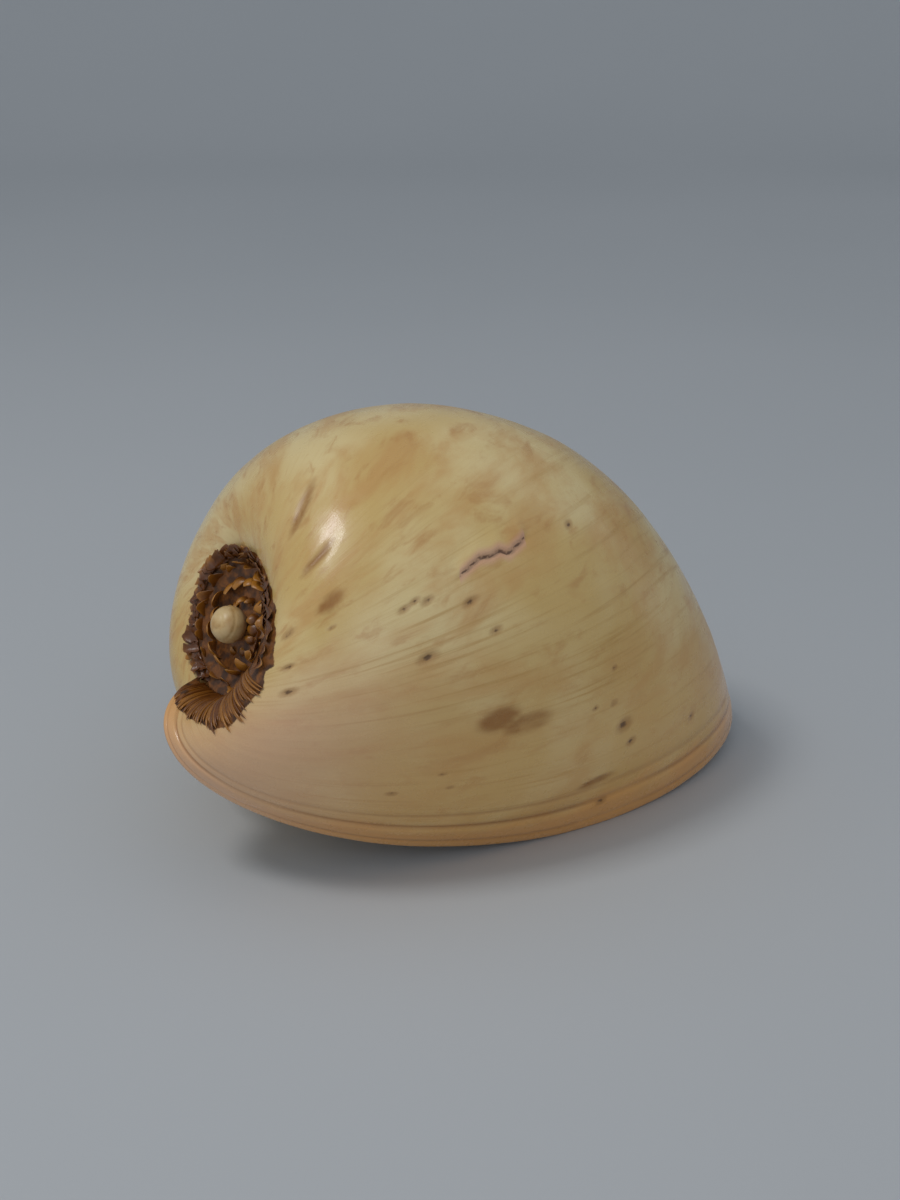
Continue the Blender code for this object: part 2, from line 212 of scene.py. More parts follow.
def pillar_end():
    """Height at which the pillar begins to close to its tip."""
    return foot(lip(1.0))[1] - PILLAR_REACH


def necked(turn, place, age, radius, height):
    """The outside near the foot, drawn down into the hollow neck. Age is 1 at the lip."""
    share = np.sin(quarter(age, *NECK_FADE_IN)) ** 2 * np.sin(quarter(1 - age, 0, NECK_FADE_OUT)) ** 2
    start_radius, start_height = section(turn, np.full_like(place, NECK_PLACE))
    foot_radius, foot_height = foot(turn)
    corner_height = start_height + NECK_CORNER * (foot_height - start_height)
    end_height = foot_height + NECK_REACH * (pillar_end() - foot_height)
    end_radius = pillar_radius(end_height) + PILLAR_FLARE * age
    s = np.clip((place - NECK_PLACE) / (1 - NECK_PLACE), 0, 1)
    curve = [(1 - s) ** 2 * a + 2 * s * (1 - s) * b + s * s * c
             for a, b, c in ((start_radius, foot_radius + PILLAR_FLARE, end_radius),
                             (start_height, corner_height, end_height))]
    share = share * (s > 0)
    return radius + share * (curve[0] - radius), height + share * (curve[1] - height)


def on_axis(radius, turn, height):
    """Points in mm from radius, turn and height. Growth runs clockwise, seen from the apex."""
    radius, turn, height = np.broadcast_arrays(radius, turn, height)
    angle = 2 * math.pi * turn
    return np.stack([radius * np.cos(angle), -radius * np.sin(angle), height], -1)


def laid(points):
    """Points of the shell's own axis, turned to how the shell lies."""
    roll, tip = math.radians(ROLL_DEG), math.radians(AXIS_RISE_DEG - 90)
    x = points[..., 0] * math.cos(roll) - points[..., 1] * math.sin(roll)
    y = points[..., 0] * math.sin(roll) + points[..., 1] * math.cos(roll)
    z = points[..., 2]
    return np.stack([x * math.cos(tip) + z * math.sin(tip), y, z * math.cos(tip) - x * math.sin(tip)], -1)


def lattice(cell, seed):
    """A number from 0 to 1 for each whole-number cell, mixed from its three indices and the seed."""
    i, j, k = (cell[..., n].astype(np.int64).astype(np.uint64) for n in range(3))
    mixed = i * np.uint64(374761393) + j * np.uint64(668265263) + k * np.uint64(2246822519)
    mixed = (mixed + np.uint64(seed * 3266489917 % 2 ** 32)) & np.uint64(0xFFFFFFFF)
    mixed = ((mixed ^ (mixed >> np.uint64(13))) * np.uint64(1274126177)) & np.uint64(0xFFFFFFFF)
    return ((mixed ^ (mixed >> np.uint64(16))) & np.uint64(0xFFFF)).astype(float) / 65535


def clouds(points, size, seed):
    """Value noise from -1 to 1: random values on a lattice of this size, joined by S-shaped steps."""
    place = points / size
    cell = np.floor(place)
    part = place - cell
    part = part * part * (3 - 2 * part)
    total = 0
    for corner in np.ndindex(2, 2, 2):
        weight = np.prod(np.where(corner, part, 1 - part), -1)
        total = total + weight * lattice(cell + corner, seed)
    return 2 * total - 1


def flat_clouds(u, v, seed):
    """The same noise over two coordinates."""
    u, v = np.broadcast_arrays(u, v)
    return clouds(np.stack([u, v, np.full(u.shape, 0.5 + seed)], -1), 1.0, seed)


# Marks on the outside, picked one by one in the photograph and carried back to age and place.
# A row holds its middle, then half sizes in mm along growth and across it, or one radius, and a depth.
DENTS = (
    # age, place, half_age, half_across, depth, turned_deg
    (0.629, 0.199, 3.6, 9.0, 0.6, 24),
    (0.689, 0.197, 2.8, 6.5, 0.5, 8),
    (0.877, 0.362, 4.2, 4.2, 0.25, 0),
    (0.8845, 0.384, 3.6, 5.0, 0.25, 0),
    (0.950, 0.467, 1.8, 5.0, 0.45, 8),
    (0.739, 0.210, 4.0, 4.0, 0.12, 0),
)
PITS = (
    # age, place, radius, depth
    (0.793, 0.329, 1.0, 0.5),
    (0.777, 0.277, 0.9, 0.35),
    (0.775, 0.2855, 0.8, 0.3),
    (0.779, 0.2955, 0.9, 0.35),
    (0.818, 0.299, 1.3, 0.35),
    (0.817, 0.349, 0.8, 0.2),
    (0.780, 0.431, 0.9, 0.3),
    (0.763, 0.214, 0.7, 0.2),
    (0.871, 0.459, 0.6, 0.3),
    (0.893, 0.462, 0.7, 0.35),
    (0.891, 0.442, 0.6, 0.2),
    (0.912, 0.479, 1.5, 0.7),
    (0.927, 0.4925, 1.0, 0.45),
    (0.936, 0.591, 0.9, 0.3),
    (0.972, 0.4825, 1.0, 0.3),
    (0.930, 0.312, 0.7, 0.3),
    (0.913, 0.337, 0.5, 0.2),
    (0.926, 0.347, 0.5, 0.2),
    (0.786, 0.1736, 1.3, 0.6),
    (0.744, 0.1600, 1.7, 0.3),
    (0.816, 0.1870, 1.6, 0.2),
)
CRACK_AGE = (0.7732, 0.7712, 0.7692, 0.7712, 0.7732, 0.7745, 0.7738, 0.7725)
CRACK_PLACE = (0.3239, 0.3322, 0.3389, 0.3472, 0.3556, 0.3656, 0.3740, 0.3806)


def mark_distance(age, place, middle_age, middle_place, half_age, half_across, turned_deg=0.0):
    """Distance from a mark's middle over its half size: 1 at its edge."""
    along = (age - middle_age) * AGE_MM
    across = (place - middle_place) * SECTION_MM
    angle = math.radians(turned_deg)
    first = (along * math.cos(angle) + across * math.sin(angle)) / half_age
    second = (across * math.cos(angle) - along * math.sin(angle)) / half_across
    return np.sqrt(first ** 2 + second ** 2)


def crack_distance(age, place):
    """Signed distance in mm from the healed break, positive towards the lip, and 1 within its length."""
    jagged = 1.0 * flat_clouds(place * SECTION_MM / 1.9, 0.0, 5)
    line = np.interp(place, CRACK_PLACE, CRACK_AGE)
    within = smooth(place, CRACK_PLACE[0] - 0.008, CRACK_PLACE[0] + 0.004)
    within = within * smooth(-place, -CRACK_PLACE[-1] - 0.006, -CRACK_PLACE[-1] + 0.004)
    return (age - line) * AGE_MM + jagged, within


# Relief in mm. Lumps have a size and a height, and growth lines have a spacing.
LUMPS = ((38.0, 0.32), (17.0, 0.16), (6.0, 0.05))
COARSE_LINES = 7.0
FINE_LINES = 2.6
# Creases that follow the lip: the first one's way back from it, the next one's way behind that, and
# the way back of the one at the edge.
FIRST_CREASE = 13.0
SECOND_CREASE = 6.0
EDGE_CREASE = 5.0


def first_crease(place):
    """How far back from the lip the first crease runs at each place, wavering by noise."""
    return FIRST_CREASE + 2.0 * flat_clouds(place * 6, 0.0, 8)


def growth_lines(to_lip, age, place):
    """Coarse and fine lines parallel to the lip, which stand out most on the youngest part."""
    waver = 2.2 * flat_clouds(place * 9, age * 3, 4)
    lines = flat_clouds((to_lip + waver) / COARSE_LINES, place * 2.5, 6) * 0.10
    lines = lines + flat_clouds((to_lip + waver) / FINE_LINES, place * 5, 7) * 0.05
    return lines * (0.12 + 0.88 * smooth(age, 0.74, 0.94))


def relief(points, age, place):
    """How far the surface stands out of the plain one, in mm: lumps, lines, creases and marks."""
    lumps = sum(high * clouds(points, size, seed) for seed, (size, high) in enumerate(LUMPS, 1))
    to_lip = (1 - age) * AGE_MM
    height = lumps + growth_lines(to_lip, age, place)
    crease = first_crease(place)
    height = height - 0.35 * bump(to_lip, crease, 0.9) + 0.3 * smooth(-to_lip, -crease, -crease + 3)
    height = height - 0.18 * bump(to_lip, crease + SECOND_CREASE, 0.8) - 0.15 * bump(to_lip, EDGE_CREASE, 0.9)
    for middle_age, middle_place, half_age, half_across, depth, turned in DENTS:
        far = mark_distance(age, place, middle_age, middle_place, half_age, half_across, turned)
        height = height - depth * (1 - smooth(far, 0.0, 1.25))
    for middle_age, middle_place, radius, depth in PITS:
        far = mark_distance(age, place, middle_age, middle_place, radius, radius)
        height = height - depth * (1 - smooth(far, 0.3, 1.3))
    side, within = crack_distance(age, place)
    ledge = 0.7 * smooth(-side, -0.4, 0.4) * smooth(side, -7.0, 0.0) - 0.5 * bump(side, 0.5, 0.6)
    return height + within * ledge


# How far out along the section the dried skin reaches at these turns.
SKIN_TURNS = (-0.80, -0.62, -0.48, -0.36, -0.20, -0.12, -0.06, -0.02, 0.03, 0.118, 0.21, 0.24)
SKIN_REACH = (0.015, 0.020, 0.026, 0.040, 0.095, 0.130, 0.142, 0.145, 0.128, 0.092, 0.056, 0.036)


def skin_reach(turn):
    """The place to which dried skin covers the shoulder at each turn, wavering by noise."""
    return np.interp(turn, SKIN_TURNS, SKIN_REACH) * (1 + 0.12 * flat_clouds(turn * 60, 0.0, 31))


def skin_folds(turn, place):
    """Folds of the dried skin in mm, which run from the suture outwards, and its lower outer edge."""
    part = place / np.maximum(skin_reach(turn), 0.01)
    folds = 0.55 * np.abs(flat_clouds(turn * 46 + 2 * part, part * 1.3, 32)) + 0.35
    return folds * smooth(-part, -1.0, -0.8) * smooth(part, 0.0, 0.15)


def rows_of_age():
    """Ages for the rows of the outside: close together where the marks are and at the lip."""
    knots = (0.0, 0.45, 0.60, 0.755, 0.83, 0.90, 0.985, 1.0)
    counts = (44, 26, 34, 42, 24, 38, 14)
    parts = [np.linspace(a, b, n, endpoint=False) for a, b, n in zip(knots[:-1], knots[1:], counts)]
    return np.concatenate(parts + [[1.0]])[:, None]


def even_places(start, end, count):
    """Places that lie evenly along the section at turn 0."""
    fine = np.linspace(start, end, 2000)
    radius, height = section(0.0, fine)
    length = np.concatenate([[0], np.cumsum(np.hypot(np.diff(radius), np.diff(height)))])
    return np.interp(np.linspace(0, length[-1], count), length, fine)


AGES = rows_of_age()
SHOULDER_COLUMNS = 30
BODY_COLUMNS = 236
PLACES = np.concatenate([even_places(0, HOLLOW_PLACE, SHOULDER_COLUMNS + 1)[:-1],
                         even_places(HOLLOW_PLACE, 1, BODY_COLUMNS)])[None, :]
DISH_RINGS = np.array((0.12, 0.25, 0.4, 0.55, 0.7, 0.82, 0.91, 0.97))[None, :]
PILLAR_COLUMNS = 26
HOLLOW_AGES = (np.linspace(0, 1, 44) ** 1.35 * HOLLOW_TURNS)[:, None]


def outside_points():
    """The spire dish, the last whorl and the pillar below it, a row for each step of growth."""
    turn = lip(0.0) - 1 + AGES
    radius = through(turn, TURNS, SUTURE_RADIUS) * DISH_RINGS
    height = SUTURE_HEIGHT * SUTURE_CLIMB ** turn - DISH_DEPTH * np.sin(math.pi * DISH_RINGS)
    dish = on_axis(radius, turn, height)

    # The whorl, moved out by its relief and folds, rounded at the lip and drawn into the neck.
    turn = lip(PLACES) - 1 + AGES
    age, place = np.broadcast_arrays(AGES, PLACES)
    radius, height = section(turn, place)
    raised = relief(on_axis(radius, turn, height), age, place)
    raised = raised * smooth(place, 0.0, 0.05) * smooth(age, 0.0, 0.02) * smooth(-place, -1.0, -0.93)
    raised = raised + skin_folds(turn, place) * smooth(age, 0.0, 0.02)
    to_lip = np.clip((1 - age) * AGE_MM, 0, RIM_ROUND)
    raised = raised - (RIM_ROUND - np.sqrt(RIM_ROUND ** 2 - (RIM_ROUND - to_lip) ** 2))
    radius, height = necked(turn, place, age, *offset_section(turn, place, raised))
    whorl = on_axis(radius, turn, height)

    # The pillar below the foot, which tapers and closes in a rounded tip.
    turn = lip(1.0) - 1 + AGES
    start, end = height[:, -1:], pillar_end()
    along = np.linspace(0, 1, PILLAR_COLUMNS + 1)[None, 1:]
    height = start + along * (end - start)
    radius = (pillar_radius(height) + PILLAR_FLARE * AGES) * (1 - PILLAR_TAPER * along ** 2)
    pillar = on_axis(radius, turn, height)
    along = np.sin(np.linspace(0, math.pi / 2, 9))[None, 1:-1]
    tip = on_axis(radius[:, -1:] * np.sqrt(1 - along ** 2), turn, end - PILLAR_TIP * along - AGES)
    return np.concatenate([dish, whorl, pillar, tip], 1)


def inside_points():
    """The hollow, a ring for each step back from the lip: outer wall, pillar, whorl before."""
    u = HOLLOW_AGES
    follow = 1 - u / HOLLOW_TURNS
    place = PLACES[:, SHOULDER_COLUMNS:]
    turn = lip(place) * follow - u
    wall = WALL + (DEEP_WALL - WALL) * np.clip(u, 0, 1)
    from_lip = np.clip(u * AGE_MM, 0, RIM_ROUND)
    wall = wall - (RIM_ROUND - np.sqrt(RIM_ROUND ** 2 - (RIM_ROUND - from_lip) ** 2))
    radius, height = offset_section(turn, place, -wall)
    outer = on_axis(np.maximum(radius, pillar_radius(height) + CANAL_WIDTH), turn, height)
    callus = 0.05 + (CALLUS - 0.05) * smooth(u, 0, 0.02)
    radius, height = offset_section(turn - 1, place, callus)
    inner = on_axis(radius, turn, height)

    along = np.linspace(0, 1, PILLAR_COLUMNS + 1)[None, 1:]
    turn = lip(1.0) * follow - u
    high, low = foot(turn - 1)[1] - callus, foot(turn)[1] + WALL
    height = high + along * (low - high)
    folds = sum(bump(along, pleat, PLEAT_WIDTH) for pleat in PLEATS)
    folds = PLEAT_HEIGHT * folds * np.clip(u / 0.04, 0, 1) * np.clip(2 * follow, 0, 1)
    core = on_axis(pillar_radius(height) + callus + folds, turn, height)
    return outer, core, inner


def quads(grid, wrap_columns=False):
    """Faces between the neighbours of a grid of vertex numbers."""
    if wrap_columns:
        grid = np.concatenate([grid, grid[:, :1]], 1)
    corners = [grid[:-1, :-1], grid[1:, :-1], grid[1:, 1:], grid[:-1, 1:]]
    return np.stack(corners, -1).reshape(-1, 4)


def fan(middle, ring):
    """Triangles, written as quads with a repeated corner, from one vertex to a row of vertices."""
    middle = np.full(len(ring) - 1, middle)
    return np.stack([middle, ring[:-1], ring[1:], middle], -1)


def ring_parts(ring, count):
    """A ring of the hollow in three runs, from the suture down: outer wall, pillar, whorl before."""
    wall_run, core_run, whorl_run = np.split(ring, (count, count + PILLAR_COLUMNS))
    whorl_run = whorl_run[::-1]
    core_run = np.concatenate([whorl_run[-1:], core_run[::-1]])
    return wall_run, core_run, whorl_run


def mouth_faces(old, new, ring, count, bottom):
    """Faces that join the outside's first row (old) and last row (new) to the hollow's first ring."""
    suture = DISH_RINGS.size
    first = suture + SHOULDER_COLUMNS
    foot_column = suture + PLACES.size - 1
    end_column = foot_column + PILLAR_COLUMNS
    wall_run, core_run, whorl_run = ring_parts(ring, count)
    return [
        # The rim of the lip, then the whorl before and the pillar as they enter the mouth.
        quads(np.stack([new[first:foot_column + 1], wall_run])),
        quads(np.stack([whorl_run, old[first:foot_column + 1]])),
        quads(np.stack([core_run, old[foot_column:end_column + 1]])),
        # The corners between those three.
        [[new[first], wall_run[0], whorl_run[0], old[first]]],
        fan(core_run[-1], new[foot_column:end_column + 1]),
        [[new[foot_column], wall_run[-1], core_run[-1], core_run[-1]]],
        [[core_run[-1], old[end_column], new[end_column], new[end_column]]],
        # The step of growth on the shoulder, and on the pillar's tip.
        quads(np.stack([new[suture:first + 1], old[suture:first + 1]])),
        quads(np.stack([new[end_column:], old[end_column:]])),
        [[bottom, new[-1], old[-1], old[-1]]],
    ]


def deep_end_faces(ring, count):
    """Faces that close the hollow at its deep end."""
    wall_run, core_run, whorl_run = ring_parts(ring, count)
    return [quads(np.stack([wall_run, whorl_run])), fan(wall_run[-1], core_run)]


def shell_grids():
    """All points of the shell on its axis, its faces, and the vertex numbers of outside and hollow."""
    outside = outside_points()
    outer, core, inner = inside_points()
    ring = np.concatenate([outer, core[:, ::-1], inner[:, ::-1]], 1)
    tip_height = outside[..., 2].min() - 0.6
    poles = on_axis(0, 0, np.array([SUTURE_HEIGHT, tip_height]))
    points = np.concatenate([outside.reshape(-1, 3), ring.reshape(-1, 3), poles])
    out = np.arange(outside.shape[0] * outside.shape[1]).reshape(outside.shape[:2])
    tube = out.size + np.arange(ring.shape[0] * ring.shape[1]).reshape(ring.shape[:2])
    top, bottom = len(points) - 2, len(points) - 1
    faces = [quads(out), quads(tube, wrap_columns=True), fan(top, out[:, 0]), fan(bottom, out[::-1, -1])]
    old, new = out[0], out[-1]
    faces += mouth_faces(old, new, tube[0], outer.shape[1], bottom)
    faces += deep_end_faces(tube[-1], outer.shape[1])
    # The step of growth across the dish is one face with many corners.
    dish_end = DISH_RINGS.size + 1
    polygon = [top] + old[:dish_end].tolist() + new[:dish_end][::-1].tolist()
    return points, faces, polygon, out, tube


def mesh_object(name, points, faces, collection, material, polygons=()):
    """An object from points in metres and faces. A quad that repeats a corner becomes a triangle."""
    faces = np.concatenate([np.asarray(f) for f in faces])
    three = (faces[:, 0] == faces[:, 3]) | (faces[:, 2] == faces[:, 3])
    corners = [tuple(f) for f in faces[~three].tolist()] + [tuple(f[:3]) for f in faces[three].tolist()]
    mesh = bpy.data.meshes.new(name)
    mesh.from_pydata(points.tolist(), [], corners + [tuple(p) for p in polygons])
    work = bmesh.new()
    work.from_mesh(mesh)
    bmesh.ops.recalc_face_normals(work, faces=work.faces)
    work.to_mesh(mesh)
    work.free()
    mesh.update()
    mesh.shade_smooth()
    mesh.materials.append(material)
    made = bpy.data.objects.new(name, mesh)
    collection.objects.link(made)
    return made


def set_attribute(made, name, values):
    """A number for each vertex, which the material reads by name."""
    attribute = made.data.attributes.new(name, "FLOAT", "POINT")
    attribute.data.foreach_set("value", np.ascontiguousarray(values, np.float32).ravel())


def linear(hex_colour):
    """An sRGB hex colour as the linear values that shaders take."""
    values = [int(hex_colour[i:i + 2], 16) / 255 for i in (1, 3, 5)]
    return [v / 12.92 if v <= 0.04045 else ((v + 0.055) / 1.055) ** 2.4 for v in values] + [1.0]


def add(tree, kind, inputs=None, **settings):
    """Adds a node with its settings. Each input is a value, or the output that is linked to it."""
    node = tree.nodes.new(kind)
    for key, value in settings.items():
        setattr(node, key, value)
    for key, value in (inputs or {}).items():
        if isinstance(value, bpy.types.NodeSocket):
            tree.links.new(value, node.inputs[key])
        else:
            node.inputs[key].default_value = value
    return node


def blend(tree, factor, first, second, mode="MIX"):
    """One colour over another by a factor."""
    made = add(tree, "ShaderNodeMix", {0: factor, 6: first, 7: second}, data_type="RGBA", blend_type=mode)
    return made.outputs[2]


def sums(tree, operation, first, second=0.0, third=0.0):
    """The result of a sum on one, two or three numbers."""
    return add(tree, "ShaderNodeMath", {0: first, 1: second, 2: third}, operation=operation).outputs[0]


def step(tree, value, low, high, to_low=0.0, to_high=1.0):
    """An S-shaped step of a value between low and high."""
    inputs = {"Value": value, "From Min": low, "From Max": high, "To Min": to_low, "To Max": to_high}
    return add(tree, "ShaderNodeMapRange", inputs, interpolation_type="SMOOTHSTEP").outputs[0]


def noise(tree, vector, scale, detail=2.0, roughness=0.5, distortion=0.0):
    """Noise at a number of cells for each unit of the vector."""
    inputs = {"Vector": vector, "Scale": scale, "Detail": detail, "Roughness": roughness,
              "Distortion": distortion}
    return add(tree, "ShaderNodeTexNoise", inputs).outputs["Fac"]


def stretched(tree, vector, scale):
    """A vector scaled differently along each axis."""
    return add(tree, "ShaderNodeVectorMath", {0: vector, 1: scale}, operation="MULTIPLY").outputs[0]


def number(tree, name):
    """A vertex attribute."""
    return add(tree, "ShaderNodeAttribute", attribute_name=name).outputs["Fac"]


def new_material(name):
    """An empty Principled material and its tree."""
    material = bpy.data.materials.new(name)
    material.use_nodes = True
    return material, material.node_tree, material.node_tree.nodes["Principled BSDF"]


def clouded_cream(tree, spot, growth, dabs):
    """Broad clouds of cream and straw, 40 mm across, tan clouds of about 20 mm, and brown dabs."""
    broad = step(tree, noise(tree, spot, 25.0, 2.0), 0.35, 0.65)
    base = blend(tree, broad, linear("#EBD196"), linear("#D9B56E"))
    banded = noise(tree, stretched(tree, growth, (0.060, 0.045, 1.0)), 1.0, 4.0, 0.6, 0.4)
    tan = step(tree, banded, 0.42, 0.68, 0.0, 0.55)
    base = blend(tree, tan, base, linear("#CC934F"))
    return blend(tree, step(tree, dabs, 0.52, 0.72, 0.0, 0.45), base, linear("#BA7D3E"))


def towards_lip(tree, base, growth):
    """Fine streaks parallel to the lip, then straw and peach with a ragged inner edge, and pink."""
    to_lip = number(tree, "to_lip")
    streak = noise(tree, stretched(tree, growth, (0.45, 0.022, 1.0)), 1.0, 4.0, 0.65)
    near = step(tree, to_lip, 150.0, 50.0, 0.10, 0.85)
    streak = sums(tree, "MULTIPLY", step(tree, streak, 0.5, 0.72), near)
    base = blend(tree, streak, base, linear("#BD9049"))
    ragged = sums(tree, "MULTIPLY_ADD", noise(tree, stretched(tree, growth, (0.06, 0.05, 1.0)), 1.0, 3.0),
                  26.0, to_lip)
    base = blend(tree, step(tree, ragged, 110.0, 30.0, 0.0, 0.5), base, linear("#D9A55C"))
    base = blend(tree, step(tree, ragged, 32.0, 21.0, 0.0, 0.8), base, linear("#E6A45A"))
    return blend(tree, sums(tree, "MULTIPLY", number(tree, "pink"), 0.7), base, linear("#EBBC98"))


def worn_marks_and_painted_shade(tree, base, growth, dabs):
    """Creases near the lip, darker along their grooves and with painted shade at the rim under the ear, then
    stains, pits and specks, and the pink healed break with its dark line.
    """
    # Darker along the crease grooves near the lip, and painted shade at the rim of the lip under the ear.
    base = blend(tree, sums(tree, "MULTIPLY", number(tree, "crease"), 0.7), base, linear("#955722"))
    stain = sums(tree, "MULTIPLY", number(tree, "stain"), step(tree, dabs, 0.3, 0.6, 0.5, 0.95))
    base = blend(tree, stain, base, linear("#9C6424"))
    pit = sums(tree, "MULTIPLY_ADD", noise(tree, growth, 0.7, 3.0), 0.8, number(tree, "pit"))
    base = blend(tree, step(tree, pit, 2.6, 1.1, 0.0, 0.55), base, linear("#A06C36"))
    base = blend(tree, step(tree, pit, 1.25, 0.75, 0.0, 0.8), base, linear("#54351A"))
    crack = number(tree, "crack")
    base = blend(tree, step(tree, crack, 3.2, 0.9, 0.0, 0.65), base, linear("#DDA68C"))
    return blend(tree, step(tree, crack, 0.55, 0.2, 0.0, 0.85), base, linear("#5E3B22"))


def brown_skin(tree, spot):
    """The mottled brown of the dried skin in the spire and beside the suture."""
    brown = blend(tree, noise(tree, spot, 900.0, 3.0), linear("#3E1C03"), linear("#A05F14"))
    shade = step(tree, noise(tree, spot, 300.0, 3.0), 0.44, 0.62, 0.0, 0.7)
    return blend(tree, shade, brown, linear("#241003"))


def hollow_cream(tree, spot):
    """The warmer cream of the hollow, clouded with tan."""
    cloud = step(tree, noise(tree, spot, 30.0, 3.0), 0.4, 0.7)
    return blend(tree, cloud, linear("#E6C79A"), linear("#D7A876"))


def enamel():
    """Polished aragonite enamel: glossy cream, clouded with tan, peach at the lip, with worn marks and
    painted shade at the rim under the ear.
    """
    material, tree, surface = new_material("polished_aragonite_enamel")
    spot = add(tree, "ShaderNodeTexCoord").outputs["Object"]
    growth = add(tree, "ShaderNodeUVMap", uv_map="growth").outputs[0]
    dabs = noise(tree, stretched(tree, growth, (0.15, 0.11, 1.0)), 1.0, 4.0, 0.6, 0.5)
    base = clouded_cream(tree, spot, growth, dabs)
    base = towards_lip(tree, base, growth)
    base = worn_marks_and_painted_shade(tree, base, growth, dabs)
    skin = sums(tree, "MULTIPLY_ADD", noise(tree, spot, 600.0, 4.0, 0.7), 0.6, number(tree, "skin"))
    skin = step(tree, skin, 0.72, 0.88)
    base = blend(tree, skin, base, brown_skin(tree, spot))
    base = blend(tree, number(tree, "outside"), hollow_cream(tree, spot), base)
    tree.links.new(base, surface.inputs["Base Color"])

    rough = step(tree, noise(tree, spot, 120.0, 4.0, 0.6), 0.3, 0.7, 0.20, 0.36)
    rough = sums(tree, "MAXIMUM", rough, sums(tree, "MULTIPLY", skin, 0.6))
    tree.links.new(rough, surface.inputs["Roughness"])
    surface.inputs["IOR"].default_value = 1.53
    surface.inputs["Coat Weight"].default_value = 0.15
    surface.inputs["Coat Roughness"].default_value = 0.08

    grain = noise(tree, stretched(tree, growth, (1.6, 0.06, 1.0)), 1.0, 3.0, 0.6)
    pores = noise(tree, spot, 700.0, 3.0, 0.6)
    height = sums(tree, "MULTIPLY_ADD", pores, 0.35, grain)
    raised = add(tree, "ShaderNodeBump", {"Strength": 0.12, "Distance": 0.0004, "Height": height})
    tree.links.new(raised.outputs[0], surface.inputs["Normal"])
    return material


def dried_skin():
    """Dried horny skin: near black at the root, amber where it is thin, with a waxy shine."""
    material, tree, surface = new_material("dried_horny_skin")
    spot = add(tree, "ShaderNodeTexCoord").outputs["Object"]
    edge = number(tree, "edge")
    tone = number(tree, "tone")
    mottle = noise(tree, spot, 500.0, 4.0, 0.65)
    dark = blend(tree, mottle, linear("#3F1D04"), linear("#82480F"))
    gold = blend(tree, mottle, linear("#95590F"), linear("#C98830"))
    light = sums(tree, "MULTIPLY", edge, tone)
    base = blend(tree, step(tree, light, 0.25, 0.8), dark, gold)
    base = blend(tree, step(tree, edge, 0.9, 1.0, 0.0, 0.5), base, linear("#B98A4A"))
    tree.links.new(base, surface.inputs["Base Color"])
    surface.inputs["Roughness"].default_value = 0.34
    surface.inputs["IOR"].default_value = 1.54
    raised = add(tree, "ShaderNodeBump", {"Strength": 0.5, "Distance": 0.0003, "Height": mottle})
    tree.links.new(raised.outputs[0], surface.inputs["Normal"])
    return material


def embryo_enamel():
    """The embryonic shell: smooth cream, browner where it meets the skin."""
    material, tree, surface = new_material("smooth_embryonic_shell")
    spot = add(tree, "ShaderNodeTexCoord").outputs["Object"]
    cloud = noise(tree, spot, 220.0, 3.0)
    base = blend(tree, step(tree, cloud, 0.4, 0.7), linear("#DDBD86"), linear("#C59A5E"))
    base = blend(tree, step(tree, number(tree, "edge"), 0.35, 0.0, 0.0, 0.8), base, linear("#7A4E25"))
    tree.links.new(base, surface.inputs["Base Color"])
    surface.inputs["Roughness"].default_value = 0.38
    surface.inputs["IOR"].default_value = 1.53
    return material


def scatter(count, seed, low=0.0, high=1.0):
    """Unlike numbers between low and high, always the same ones for a seed."""
    cells = np.stack([np.arange(count), np.full(count, 7), np.full(count, 3)], -1)
    return low + (high - low) * lattice(cells, seed)


LEAF_ROWS = 15
LEAF_AROUND = 14


def leaves(turn, radius, height, length, width, lean, curl, cup, thick, twist, ragged, seed):
    """Thin curved scales: a flat oval swept along an arc that rises from the spire and bends over.

    The arc starts at lean (0 is outwards, a quarter turn is along the axis) and turns by curl over its
    length. The oval is cupped across, tapers to the tip, and its edges are cut by noise.
    """
    count = len(turn)
    s = np.linspace(0, 1, LEAF_ROWS)[None, :, None]
    a = np.linspace(0, 2 * math.pi, LEAF_AROUND, endpoint=False)[None, None, :]
    turn, radius, height, length, width, lean, curl, cup, thick, twist = (
        np.broadcast_to(np.asarray(v, float), (count,))[:, None, None]
        for v in (turn, radius, height, length, width, lean, curl, cup, thick, twist))
    angle = lean + curl * s
    middle = (angle[:, 1:] + angle[:, :-1]) / 2
    zero = np.zeros((count, 1, 1))
    out = np.concatenate([zero, np.cumsum(np.cos(middle), 1)], 1) * length / (LEAF_ROWS - 1)
    up = np.concatenate([zero, np.cumsum(np.sin(middle), 1)], 1) * length / (LEAF_ROWS - 1)
    index = np.arange(count)[:, None, None]
    cut = 1 + ragged * flat_clouds(s * 5 + 17 * index, np.cos(a) * 1.2 + seed, seed)
    taper = np.clip(1 - s ** 3, 0.0, 1) ** 0.75 * (0.55 + 0.45 * smooth(s, 0, 0.4))
    half = width * taper * cut
    across = half * np.cos(a)
    body = thick * np.sqrt(np.clip(1 - s ** 6, 0.0, 1)) * np.sin(a) * 0.5
    bend = body + cup * across ** 2 / np.maximum(width, 0.1)
    forward = radius + out - np.sin(angle) * bend
    rise = height + up + np.cos(angle) * bend
    around = across + twist * s * length * 0.3
    base = 2 * math.pi * turn
    x = forward * np.cos(base) - around * np.sin(base)
    y = -forward * np.sin(base) - around * np.cos(base)
    points = np.stack(np.broadcast_arrays(x, y, rise), -1)
    edge = np.broadcast_to(np.maximum(s, 0.8 * np.abs(np.cos(a)) * s ** 0.5), points.shape[:3])
    return points, edge


def tube_faces(count, rows, columns, start=0):
    """Faces of closed tubes of rows by columns vertices, with their two ends closed by fans."""
    number_of = start + np.arange(count * rows * columns).reshape(count, rows, columns)
    faces = []
    for one in number_of:
        faces.append(quads(one.T)[:, ::-1])
        seam = np.stack([one[:, -1], one[:, 0]])
        faces.append(quads(seam)[:, ::-1])
        for row, order in ((one[0], 1), (one[-1], -1)):
            ring = row[::order]
            faces.append(fan(ring[0], ring[1:]))
    return faces


